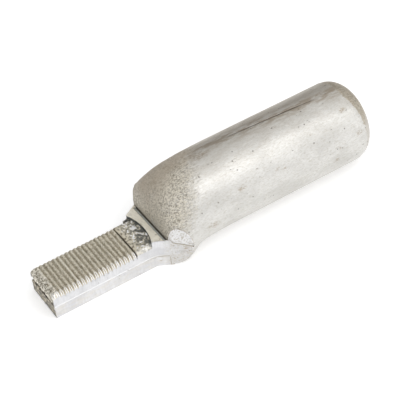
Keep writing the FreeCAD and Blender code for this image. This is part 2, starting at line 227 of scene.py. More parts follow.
def makeBore():
    radius, edge, start, closing = bore["radius"], bore["edge"], bore["roundEnd"], bore["closingSteps"]
    straight = round(-start / bore["step"])
    turn = radius - bore["endLevel"]
    profile = [(1, 0, onBarrel), (1, radius + edge + 1, onBarrel),
               (0, radius + edge, onBarrel), (-edge, radius, onBarrel)]
    profile += [(start * i / straight, radius, onBarrel) for i in range(1, straight + 1)]
    for i in range(1, closing + 1):
        run = math.sin(math.pi / 2 * i / closing)
        profile.append((start + (bore["end"] - start) * run, radius - bore["taper"] * run, onBarrel))
    profile.append((bore["end"], 0, onBarrel))

    def pressRoof(bm, turnLayer):  # each ring keeps its lower arc and gets a straight roof
        for v in bm.verts:
            run = start - v.co.x
            if run <= hair / 10:
                continue
            roof = bore["endLevel"] + math.sqrt(max(0, turn ** 2 - min(run, turn) ** 2))
            ring = math.hypot(v.co.y, v.co.z)
            if ring < hair:
                v.co.z = bore["endLevel"] - bore["endDrop"]
                continue
            reached = math.asin(roof / ring) if roof < ring else math.pi / 2
            angle = math.asin(max(-1, min(1, v.co.z / ring)))
            if angle > reached:
                share = (math.pi / 2 - angle) / (math.pi / 2 - reached)
                v.co.y = math.copysign(ring * math.cos(reached) * share, v.co.y)
                v.co.z = roof
    return spun("bore", profile, bore["turns"], "boreWall", pressRoof)


pin = {  # the flat ribbed pin, in mm
    "half": 4.9,
    "top": -3.0,
    "edge": 0.9,
    "edgeSegments": 7,
    "ribPitch": 0.96,
    "ribCount": 20,
    "ribDepth": 0.32,
    "ribSlices": 12,
    "ribSharp": 1.6,
    "ribWander": 0.05,
    "ribWave": 0.05,  # bend of the ribs on their way across, as a share of the pitch
    "ribGrit": 0.12,
    "ribSplit": 1.0,  # depth of the split in each rib where it wraps over the near edge
    "splitSharp": 1.3,
    "splitFrom": -3.7,
    "splitTo": -4.3,
    "wrapTo": -4.4,
    "ribEnd": -56.3,
    "fieldDrop": 0.03,
    "fieldRun": 0.5,
    "step": -52.75,
    "inside": 1.25,  # how far it runs into the land
    "cutX": 0.3,
    "cutY": 0.3,
    "cutZ": 0.4,
    "tornFrom": 0.6,  # from the tip, where the torn end gives way to whole ribs
    "tornTo": 2.4,
    "tornDrop": 0.12,
    "tornDepth": 0.16,
    "tipRound": 1.2,
    "tipUpperBack": 0.08,
    "scoreWidth": 0.18,
    "scoreDepth": 0.26,
    "scoreFrom": 4.2,
    "scoreTo": 0.5,
}
wear = {  # unevenness pressed, cut and torn into the surfaces, in mm
    "barrel": 0.05,
    "shoulder": 0.13,
    "sheared": 0.05,
    "ledge": 0.06,  # the lower wall stands this much prouder than the upper
    "seam": 0.07,
    "seamHalf": 0.05,
    "field": 0.14,
    "top": 0.035,
    "tip": 0.3,
    "burr": 0.14,
    "sharp": math.radians(35),
}
seamLevel = (bottom + pin["top"]) / 2
ribShift = [random.uniform(-1, 1) * pin["ribWander"] for i in range(pin["ribCount"] + 1)]
ribHeight = [random.uniform(0.72, 1.0) for i in range(pin["ribCount"] + 1)]


def blockBetween(low, high):
    bm = bmesh.new()
    bmesh.ops.create_cube(bm, size=1)
    bmesh.ops.scale(bm, vec=[b - a for a, b in zip(low, high)], verts=bm.verts)
    bmesh.ops.translate(bm, vec=[(a + b) / 2 for a, b in zip(low, high)], verts=bm.verts)
    return bm


def sliceAcross(bm, axis, places):  # cuts the mesh at each place along an axis
    for place in places:
        spot, normal = Vector(), Vector()
        spot[axis], normal[axis] = place, 1
        bmesh.ops.bisect_plane(bm, geom=bm.verts[:] + bm.edges[:] + bm.faces[:], dist=1e-5,
                               plane_co=spot, plane_no=normal)


def placesBetween(low, high, step):
    count = max(1, round((high - low) / step))
    return [low + (high - low) * i / count for i in range(1, count)]


def seamPlaces(low, high, step):  # even levels, with close ones round the seam
    close = 0.09
    return (placesBetween(low, seamLevel - close, step) + [seamLevel - close, seamLevel, seamLevel + close]
            + placesBetween(seamLevel + close, high, step))


def ribLevel(x, y):  # 1 on a crest and 0 in a valley
    place = (x - tip) / pin["ribPitch"]
    place += pin["ribWave"] * noise.noise(Vector((x * 0.8, y * 0.25, 3.1)))
    index = min(max(int(place), 0), pin["ribCount"])
    valley = (0.5 + 0.5 * math.cos(2 * math.pi * (place + ribShift[index]))) ** pin["ribSharp"]
    notch = (0.5 + 0.5 * math.cos(4 * math.pi * place)) ** pin["splitSharp"]
    notch *= pin["ribSplit"] * smoothStep(pin["splitFrom"], pin["splitTo"], y)
    level = (1 - valley) * ribHeight[index] - notch
    return level + pin["ribGrit"] * noise.noise(Vector((x * 3.0, y * 1.1, 8.4)))


def pinDrop(x, y):  # how far the pin's pressed top lies below its highest level
    if x > pin["ribEnd"]:
        dents = max(0, noise.noise(Vector((x * 1.15, y * 0.95, 1.7))) + 0.15)
        drop = pin["fieldDrop"] + wear["field"] * dents
        drop *= smoothStep(pin["ribEnd"], pin["ribEnd"] + pin["fieldRun"], x)
    else:
        ragged = x + 0.5 * noise.noise(Vector((0, y * 0.7, 5.2)))
        strength = smoothStep(tip + pin["tornFrom"], tip + pin["tornTo"], ragged)
        torn = pin["tornDrop"] + pin["tornDepth"] * noise.noise(Vector((x * 1.6, y * 1.6, 4.0)))
        drop = pin["ribDepth"] * (1 - ribLevel(x, y)) * strength + torn * (1 - strength)
    score = math.exp(-((x - pin["ribEnd"] - 0.02 * math.sin(y)) / pin["scoreWidth"]) ** 2 * 4)
    return drop + score * pin["scoreDepth"] * smoothStep(pin["scoreFrom"], pin["scoreTo"], y)


def makePin():
    low, high = (tip, -pin["half"], bottom), (pin["step"] + pin["inside"], pin["half"], pin["top"])
    bm = blockBetween(low, high)
    upper = [e for e in bm.edges if all(v.co.z > pin["top"] - hair for v in e.verts)
             and abs(e.verts[0].co.y - e.verts[1].co.y) < hair]
    bmesh.ops.bevel(bm, geom=upper, offset=pin["edge"], offset_type="OFFSET", affect="EDGES",
                    segments=pin["edgeSegments"], profile=0.5, material=-1)
    slices = pin["ribCount"] * pin["ribSlices"]
    sliceAcross(bm, 0, [tip + pin["ribPitch"] * pin["ribCount"] * i / slices for i in range(1, slices)])
    score = [pin["ribEnd"] + pin["scoreWidth"] * share for share in (-0.5, -0.25, 0, 0.25, 0.5, 1.0)]
    sliceAcross(bm, 0, score + placesBetween(pin["ribEnd"] + 0.2, high[0], pin["cutX"]))
    sliceAcross(bm, 1, placesBetween(-pin["half"] + pin["edge"], pin["half"] - pin["edge"], pin["cutY"]))
    sliceAcross(bm, 2, seamPlaces(bottom, pin["top"] - pin["edge"], pin["cutZ"]))
    for face in bm.faces:
        normal = face.normal
        kind = ("tornTip" if normal.x < -0.9 else "shearedSide" if abs(normal.y) > 0.98
                else "pressedTop" if normal.z > 0 else "drawnTube")
        face.material_index = kinds.index(kind)
    for v in bm.verts:
        if v.co.z > pin["top"] - pin["edge"] - hair:
            v.co.z -= pinDrop(v.co.x, v.co.y)
        run = tip + pin["tipRound"] - v.co.x
        if run > 0 and v.co.z > seamLevel:
            share = (v.co.z - seamLevel) / (pin["top"] - seamLevel)
            v.co.z -= share * (pin["tipRound"] - math.sqrt(max(0, pin["tipRound"] ** 2 - run ** 2)))
    return newMesh("pin", bm)


land = {  # the flat in front of the shoulder and the blanking cut round it, in mm
    "top": -2.1,
    "overlap": 0.6,
    "half": 8,
    "apronRun": 3,  # flat under the step, in front of it
    "apronOverlap": 0.4,
    "apronCut": 1.6,
    "bow": 1.0,
    "bowSteps": 30,
    "flareRound": 2.0,
    "flareAngle": math.radians(30),
    "flareSteps": 5,
    "farLead": 1.2,
    "reach": 12.0,
    "back": 6.0,
    "cut": 0.34,
    "grooveWidth": 0.75,
    "grooveSlope": 0.32,
    "grooveDepth": 0.5,
    "grooveHalf": 5.95,
    "grooveOver": 0.05,
}


def makeLand():
    reach, step, half = land["reach"], pin["step"], land["half"]
    bm = blockBetween((step, -reach, bottom), (tube["foot"] + land["overlap"], reach, land["top"]))
    sliceAcross(bm, 0, placesBetween(step, tube["foot"], land["cut"]))
    sliceAcross(bm, 1, placesBetween(-half, half, land["cut"]))
    apron = blockBetween((step - land["apronRun"], -reach, bottom),
                         (step + land["apronOverlap"], reach, pin["top"]))
    sliceAcross(apron, 0, placesBetween(step - land["apronCut"], step, land["cut"]))
    pieces = newMesh("land", bm), newMesh("apron", apron)
    for piece in pieces:
        for face in piece.data.polygons:
            face.material_index = kinds.index("pressedTop" if face.normal.z > -0.5 else "drawnTube")
    return combine(*pieces, "UNION")


def makeBlank():  # upright prism of the blanking cut
    lean, corner, half, reach = land["flareAngle"], land["flareRound"], pin["half"], land["reach"]
    runX = pin["step"] + corner * math.sin(lean)
    runY = half + corner * (1 - math.cos(lean))
    wideX = runX + (reach - runY) / math.tan(lean)
    side = []
    for i in range(land["flareSteps"] + 1):
        a = lean * i / land["flareSteps"]
        side.append((pin["step"] + corner * math.sin(a), half + corner * (1 - math.cos(a))))
    count = round(math.dist((runX, runY), (wideX, reach)) / land["cut"])
    side += [(runX + (wideX - runX) * i / count, runY + (reach - runY) * i / count)
             for i in range(1, count + 1)]
    back = [(land["back"], -reach), (land["back"], reach)]
    far = [(x - land["farLead"], y) for x, y in reversed(side)] + [(pin["step"], half)]
    bowRadius = (half ** 2 + land["bow"] ** 2) / (2 * land["bow"])
    bowCentre = pin["step"] + land["bow"] - bowRadius
    bow = []
    for i in range(1, land["bowSteps"]):
        y = half - 2 * half * i / land["bowSteps"]
        bow.append((bowCentre + math.sqrt(bowRadius ** 2 - y ** 2), y))
    outline = [(x, -y) for x, y in side] + back + far + bow
    bm = bmesh.new()
    face = bm.faces.new([bm.verts.new((x, y, -reach)) for x, y in outline])
    wall = bmesh.ops.extrude_face_region(bm, geom=[face])
    raised = [v for v in wall["geom"] if isinstance(v, bmesh.types.BMVert)]
    bmesh.ops.translate(bm, vec=(0, 0, 2 * reach), verts=raised)
    sliceAcross(bm, 2, [bottom - 0.2] + seamPlaces(bottom, 1.0, land["cut"]))
    bmesh.ops.recalc_face_normals(bm, faces=bm.faces)
    for face in bm.faces:
        place = face.calc_center_median()
        front = abs(place.y) < half - hair and place.x < pin["step"] + land["bow"] + hair
        face.material_index = kinds.index("pressedTop" if front else "shearedSide")
    return newMesh("blank", bm)


def makeGroove():  # line of the press edge at the shoulder's foot
    half, foot, low = land["grooveHalf"], tube["foot"], land["top"] - land["grooveDepth"]
    bm = blockBetween((foot - land["grooveWidth"], -half, low),
                      (foot + hair, half, land["top"] + land["grooveOver"]))
    sliceAcross(bm, 2, [land["top"]])
    for v in bm.verts:
        if v.co.z < low + hair and v.co.x < foot - hair:
            v.co.x += land["grooveSlope"]
    return newMesh("groove", bm, "pressedTop")


def combine(base, other, operation):  # boolean, applied, and the other piece removed
    step = base.modifiers.new("combine", "BOOLEAN")
    step.operation, step.object, step.solver = operation, other, "EXACT"
    result = bpy.data.meshes.new_from_object(base.evaluated_get(bpy.context.evaluated_depsgraph_get()))
    base.modifiers.remove(step)
    base.data = result
    bpy.data.objects.remove(other)
    return base


gape = {  # the wedge between the two walls at the tip, in mm
    "near": -2.5,  # it is open from here to the far side
    "wideFrom": 1.5,
    "deep": 3.5,
    "under": 0.45,
    "over": 0.7,
    "cut": 0.35,
    "thin": 0.06,  # these are shares of its height
    "open": 0.8,
    "ragged": 1.1,
    "narrow": 0.35,
}


def makeGape():
    low = (tip - 1, gape["near"], seamLevel - gape["under"])
    bm = blockBetween(low, (tip + gape["deep"], pin["half"] + 1, seamLevel + gape["over"]))
    sliceAcross(bm, 1, placesBetween(gape["near"], pin["half"], gape["cut"]))
    for v in bm.verts:
        ragged = gape["ragged"] * noise.noise(Vector((v.co.z, v.co.y * 1.3, 2.2)))
        height = gape["thin"] if v.co.x > tip else max(gape["open"] + ragged, gape["thin"])
        height *= gape["narrow"] + (1 - gape["narrow"]) * smoothStep(gape["near"], gape["wideFrom"], v.co.y)
        v.co.z = seamLevel + (v.co.z - seamLevel) * height
    return newMesh("gape", bm, "tornTip")


body = combine(makeTube(), makeLand(), "UNION")
print("stage: tube and land", len(body.data.polygons))
body = combine(body, makeBlank(), "INTERSECT")
print("stage: blanked", len(body.data.polygons))
body = combine(body, makeGroove(), "DIFFERENCE")
body = combine(body, makePin(), "UNION")
body = combine(body, makeGape(), "DIFFERENCE")
body = combine(body, makeBore(), "DIFFERENCE")
body.name = "lugBody"
print("stage: pin joined and bored", len(body.data.polygons))

press = {  # where the press has marked the tube, in mm
    "line": -38.6,  # x of the marks' end over the top, and how it moves with the angle in degrees
    "lineAngle": 91,
    "lineTurn": 0.075,
    "fadeFrom": 3.4,
    "fadeTo": -4.0,
    "lowFrom": -9,
    "lowTo": -3,
}


def pressShare(place):  # 0 on the clean tube and 1 where it is fully marked
    angle = math.degrees(math.atan2(place.z, place.y))
    angle = angle + 360 if angle < -90 else angle
    line = press["line"] - press["lineTurn"] * (angle - press["lineAngle"])
    return (smoothStep(press["fadeFrom"], press["fadeTo"], place.x - line)
            * smoothStep(press["lowFrom"], press["lowTo"], place.z))


def rough(place, scale, seed):
    spot = Vector((place.x * scale[0], place.y * scale[1], place.z * scale[2]))
    return noise.noise(spot + Vector((seed, 0, 0)))


def weatherVertex(v, shares, normal):  # moves one vertex, given the kinds of the faces round it
    place = v.co.copy()
    if "boreWall" in shares:
        return
    move = 0.0
    if shares == {"drawnTube"} and place.z > bottom + 0.5:
        pressed = pressShare(place)
        move -= wear["barrel"] * (0.5 + 0.5 * rough(place, (0.09, 0.3, 0.3), 4))
        fade = smoothStep(tube["foot"] + 0.1, tube["foot"] + 1.2, place.x)
        move -= wear["shoulder"] * pressed * fade * (0.5 + 0.6 * rough(place, (0.28, 0.4, 0.4), 9)
                                                     + 0.25 * rough(place, (0.9, 1.3, 1.3), 2))
    if {"shearedSide", "drawnTube"} <= shares and place.z > seamLevel and place.x > tube["foot"]:
        move += wear["burr"] * (0.6 + 0.8 * rough(place, (1.2, 1.2, 1.2), 14))
    if "shearedSide" in shares and abs(place.y) > 4:
        level = place.z - seamLevel
        if shares == {"shearedSide"}:
            move -= wear["sheared"] * (0.5 + 0.5 * rough(place, (0.8, 0.8, 0.16), 5))
            move -= wear["seam"] * math.exp(-(level / wear["seamHalf"]) ** 2)
        move -= wear["ledge"] * smoothStep(0.0, 0.1, level)
    if shares == {"pressedTop"} and place.z > pin["top"] - 0.6:
        move -= wear["top"] * (0.5 + 0.5 * rough(place, (1.7, 1.7, 1.7), 6))
    v.co = place + normal * move
    if "tornTip" in shares and place.x < tip + 0.4:
        torn = 0.5 + 0.5 * rough(place, (0.9, 0.9, 1.3), 12) + 0.45 * rough(place, (2.6, 2.6, 3.4), 3)
        upper = smoothStep(-0.1, 0.25, place.z - seamLevel)
        v.co.x += wear["tip"] * max(0, torn) + pin["tipUpperBack"] * upper


def finishBody(body):  # cleans and weathers the mesh and gives it the layers that the materials read
    bm = bmesh.new()
    bm.from_mesh(body.data)
    bmesh.ops.remove_doubles(bm, verts=bm.verts, dist=2e-4)
    bmesh.ops.dissolve_degenerate(bm, edges=bm.edges, dist=1e-4)
    wide = [f for f in bm.faces if len(f.verts) > 4]
    bmesh.ops.triangulate(bm, faces=wide, quad_method="BEAUTY", ngon_method="BEAUTY")
    bm.normal_update()
    jobs = []
    for v in bm.verts:
        shares = {kinds[f.material_index] for f in v.link_faces}
        normal = v.normal.copy()
        if "shearedSide" in shares and len(shares) > 1:
            sheared = [f.normal for f in v.link_faces if kinds[f.material_index] == "shearedSide"]
            normal = sum(sheared, Vector())
            normal.normalize()
        jobs.append((v, shares, normal))
    for job in jobs:
        weatherVertex(*job)
    low, high = cadLow / mm, cadHigh / mm
    for v in bm.verts:
        v.co = [min(max(v.co[k], low[k]), high[k]) for k in range(3)]
    layers = {name: bm.verts.layers.float.new(name) for name in ("press", "crest", "nearEdge", "burr")}
    for v in bm.verts:
        place = v.co
        v[layers["press"]] = pressShare(place)
        joined = {kinds[f.material_index] for f in v.link_faces}
        v[layers["burr"]] = 1 if {"shearedSide", "drawnTube"} <= joined and place.z > seamLevel else 0
        if place.x < pin["ribEnd"] + 0.05 and place.z > pin["top"] - 1.5:
            v[layers["crest"]] = min(1, max(0, ribLevel(place.x, place.y)))
        onPin = place.x < pin["step"] + 0.6
        v[layers["nearEdge"]] = smoothStep(pin["splitFrom"], pin["wrapTo"], place.y) if onPin else 0
    for face in bm.faces:
        face.smooth = True
    for edge in bm.edges:
        edge.smooth = len(edge.link_faces) == 2 and edge.calc_face_angle() < wear["sharp"]
    bmesh.ops.scale(bm, vec=(mm, mm, mm), verts=bm.verts)
    bm.to_mesh(body.data)
    bm.free()


finishBody(body)
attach(body, "root")
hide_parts("pin_lug")
print("stage: body finished", sum(len(p.vertices) - 2 for p in body.data.polygons), "triangles")

view = {  # the photograph's camera, found from its outlines
    "place": (-134.53, -183.85, 191.19),
    "right": (0.8394, -0.5358, -0.0914),
    "down": (-0.4248, -0.5417, -0.7253),
    "ahead": (0.3391, 0.6476, -0.6823),
    "lens": 125.34,
}


def makeCamera():
    data = bpy.data.cameras.new("camera")
    data.lens, data.sensor_width = view["lens"], 36
    data.clip_start, data.clip_end = 0.01, 10
    camera = bpy.data.objects.new("camera", data)
    right, up, back = Vector(view["right"]), -Vector(view["down"]), -Vector(view["ahead"])
    turn = Matrix((right, up, back)).transposed().to_4x4()
    camera.matrix_world = Matrix.Translation(Vector(view["place"]) * mm) @ turn
    bpy.context.scene.collection.objects.link(camera)
    bpy.context.scene.camera = camera


makeCamera()
print("stage: camera set")


current = {}  # the node tree that is being built


def link(source, socket):
    current["tree"].links.new(source, socket)


def addNode(kind, inputs=None, **settings):  # a node with its sockets linked or set
    item = current["tree"].nodes.new("ShaderNode" + kind)
    for name, setting in settings.items():
        setattr(item, name, setting)
    for key, source in (inputs or {}).items():
        if isinstance(source, bpy.types.NodeSocket):
            link(source, item.inputs[key])
        else:
            item.inputs[key].default_value = source
    return item


def placeGroup(name, inputs):
    return addNode("Group", inputs, node_tree=bpy.data.node_groups[name]).outputs


def maths(operation, *values):
    return addNode("Math", dict(enumerate(values)), operation=operation).outputs[0]


def times(*values):
    total = values[0]
    for value in values[1:]:
        total = maths("MULTIPLY", total, value)
    return total


def plus(one, two):
    return maths("ADD", one, two)


def less(value, level=0.5):
    return maths("SUBTRACT", value, level)


def most(one, two):
    return maths("MAXIMUM", one, two)


def absolute(value):
    return maths("ABSOLUTE", value)


def mapped(value, low, high, toLow=0.0, toHigh=1.0):  # a smooth step between two levels
    names = {"Value": value, "From Min": low, "From Max": high, "To Min": toLow, "To Max": toHigh}
    return addNode("MapRange", names, interpolation_type="SMOOTHSTEP").outputs[0]


def band(value, centre, reach, core=0.0):  # 1 within the core of a value, 0 beyond its reach
    return mapped(absolute(less(value, centre)), reach, core)


def blend(share, one, two):  # one and two are sockets, values or the names of colors
    one, two = (colors[item] if isinstance(item, str) else item for item in (one, two))
    return addNode("Mix", {0: share, 6: one, 7: two}, data_type="RGBA").outputs[2]


def vector(operation, one, two):
    return addNode("VectorMath", {0: one, 1: two}, operation=operation).outputs[0]


def stretched(place, scale, noiseScale, detail=2.0, roughness=0.5):
    spot = vector("MULTIPLY", place, scale)
    names = {"Vector": spot, "Scale": noiseScale, "Detail": detail, "Roughness": roughness}
    return addNode("TexNoise", names).outputs["Fac"]


def layer(name):  # one of the mesh's own vertex layers
    return addNode("Attribute", attribute_name=name).outputs["Fac"]


def newGroup(name, inputs, outputs):
    tree = current["tree"] = bpy.data.node_groups.new(name, "ShaderNodeTree")
    for label, kind, default in inputs:
        socket = tree.interface.new_socket(label, in_out="INPUT", socket_type="NodeSocket" + kind)
        if default is not None:
            socket.default_value = default
    for label in outputs:
        tree.interface.new_socket(label, in_out="OUTPUT", socket_type="NodeSocketFloat")
    return tree.nodes.new("NodeGroupInput").outputs, tree.nodes.new("NodeGroupOutput").inputs


def buildGroups():
    given, result = newGroup("grain", [
        ("Place", "Vector", None), ("Stretch", "Vector", (0.06, 1, 1)),
        ("Fineness", "Float", 5.0), ("Spread", "Float", 0.2)], ["Value", "Height"])
    lines = stretched(given["Place"], given["Stretch"], given["Fineness"], 3.0, 0.6)
    low, high = less(0.5, given["Spread"]), plus(0.5, given["Spread"])
    link(mapped(lines, low, high), result["Value"])
    link(lines, result["Height"])

    given, result = newGroup("pits", [
        ("Place", "Vector", None), ("Density", "Float", 1.0),
        ("Size", "Float", 0.12), ("Share", "Float", 0.4)], ["Mask"])
    cells = addNode("TexVoronoi", {"Vector": given["Place"], "Scale": given["Density"]})
    draw = addNode("SeparateColor", {0: cells.outputs["Color"]}).outputs[0]
    chosen = maths("LESS_THAN", draw, given["Share"])
    dot = mapped(cells.outputs["Distance"], given["Size"], times(given["Size"], 0.4))
    link(times(chosen, dot), result["Mask"])

    given, result = newGroup("spot", [
        ("Place", "Vector", None), ("Centre", "Vector", None),
        ("Radius", "Float", 1.0), ("Squash", "Vector", (1, 1, 1))], ["Mask"])
    away = vector("MULTIPLY", vector("SUBTRACT", given["Place"], given["Centre"]), given["Squash"])
    length = addNode("VectorMath", {0: away}, operation="LENGTH").outputs["Value"]
    ragged = less(stretched(given["Place"], (1, 1, 1), 2.2, 4.0, 0.65))
    length = plus(length, times(ragged, times(given["Radius"], 1.6)))
    specks = mapped(stretched(given["Place"], (0.6, 1, 1), 3.2, 2.0, 0.7), 0.42, 0.6)
    soft = mapped(length, given["Radius"], times(given["Radius"], 0.2))
    link(times(soft, specks), result["Mask"])


buildGroups()
colors = {
    "clean": (0.745, 0.735, 0.71, 1),
    "cleanDark": (0.56, 0.55, 0.525, 1),
    "stain": (0.4, 0.33, 0.25, 1),
    # pits, and painted shade in creases
    "pitsAndCreaseShade": (0.13, 0.11, 0.09, 1),
    "press": (0.72, 0.67, 0.57, 1),
    "pressDark": (0.17, 0.145, 0.1, 1),
    "rim": (0.47, 0.44, 0.37, 1),
    "crest": (0.74, 0.69, 0.57, 1),
    "valley": (0.4, 0.35, 0.26, 1),
    "landTop": (0.96, 0.92, 0.81, 1),
    "field": (0.74, 0.68, 0.55, 1),
    "shade": (0.12, 0.13, 0.13, 1),
    "groove": (0.62, 0.64, 0.6, 1),
    "sheared": (0.77, 0.77, 0.785, 1),
    "shearedDark": (0.52, 0.52, 0.535, 1),
    # painted highlight, for glints, the ledge, the rib ticks and the burr
    "paintedHighlight": (0.97, 0.97, 0.98, 1),
    "torn": (0.34, 0.3, 0.25, 1),
    "tornLight": (0.95, 0.91, 0.81, 1),
    "bore": (0.6, 0.59, 0.56, 1),
}


def startNodes(owner):  # of a material or the world
    owner.use_nodes = True
    current["tree"] = owner.node_tree
    return current["tree"]


def startMaterial(name):  # its shader, and the place on the lug in mm, whole and by axis
    surface = startNodes(bpy.data.materials[name]).nodes["Principled BSDF"]
    surface.inputs["Metallic"].default_value = 1.0
    spot = vector("MULTIPLY", addNode("TexCoord").outputs["Object"], (1 / mm, 1 / mm, 1 / mm))
    return surface, spot, addNode("SeparateXYZ", {0: spot}).outputs


def bump(surface, *heights, strength=1.0):  # heights are (socket, depth in mm) pairs
    total = None
    for height, depth in heights:
        part = times(height, depth)
        total = part if total is None else plus(total, part)
    names = {"Height": total, "Strength": strength, "Distance": mm}
    link(addNode("Bump", names).outputs[0], surface.inputs["Normal"])


def grain(spot, stretch, fineness, spread=0.2):
    names = {"Place": spot, "Stretch": stretch, "Fineness": fineness, "Spread": spread}
    return placeGroup("grain", names)


def pitMask(spot, density, size, share):
    names = {"Place": spot, "Density": density, "Size": size, "Share": share}
    return placeGroup("pits", names)["Mask"]


def spots(spot, marks):  # every stain of a list in one mask
    total = None
    for centre, radius, squash in marks:
        names = {"Place": spot, "Centre": centre, "Radius": radius, "Squash": squash}
        mark = placeGroup("spot", names)["Mask"]
        total = mark if total is None else most(total, mark)
    return total


drawnFinish = {  # shares are from 0 to 1 and depths in mm
    "cloudShare": 0.5,
    "grainShare": 0.2,
    "gritShare": 0.35,
    "speckShare": 0.4,
    "lineAngle": 80.1,  # degrees of the drawn line at lineAt, and how it winds for each mm
    "lineAt": -30.3,
    "lineTurn": 0.469,
    "dirtAndBackShade": 0.16,
    "dirtByLine": 0.65,
    "dirtAndShadeBehind": 0.28,
    "backTintAndShadeShare": 0.4,
    "pressShare": 0.92,
    "pressMetallic": 0.45,
    "shoulderTopShadeShare": 0.6,
    "rimAt": -3.8,
    "rimEdge": -3.6,
    "rimShare": 0.95,
    "roughLow": 0.42,
    "roughHigh": 0.52,
    "grainDepth": 0.025,
    "gritDepth": 0.045,
    "pressDepth": 0.04,
    "grainsDepth": 0.12,
    "pitDepth": -0.06,
    "lineDepth": -0.08,
    "stainDepth": -0.03,
    "rimDepth": 0.06,
    "stains": (  # centre, radius and squash of each
        ((-32.9, -8.2, 3.7), 0.9, (0.6, 1, 1)), ((-5.7, -5.0, 7.5), 0.7, (0.6, 1, 1)),
        ((-3.9, -8.5, 3.0), 0.8, (0.8, 1, 1)), ((-24.3, -8.1, 3.9), 0.5, (0.6, 1, 1)),
        ((-22.7, -8.4, 3.2), 0.5, (1, 1, 1)), ((-10.2, -9.0, -0.9), 0.6, (0.5, 1, 1)),
        ((-9.3, -8.8, 1.8), 0.45, (1, 1, 1)), ((-37.0, 0.1, 9.0), 1.6, (0.5, 1, 1)),
        ((-40.5, -8.9, -1.4), 1.1, (0.5, 1, 1)), ((-14.7, -6.2, 6.5), 0.35, (1, 1, 1)),
        ((-34.9, -5.9, 6.8), 0.4, (1, 1, 1)), ((-20.5, -1.8, 8.8), 0.45, (0.7, 1, 1))),
}


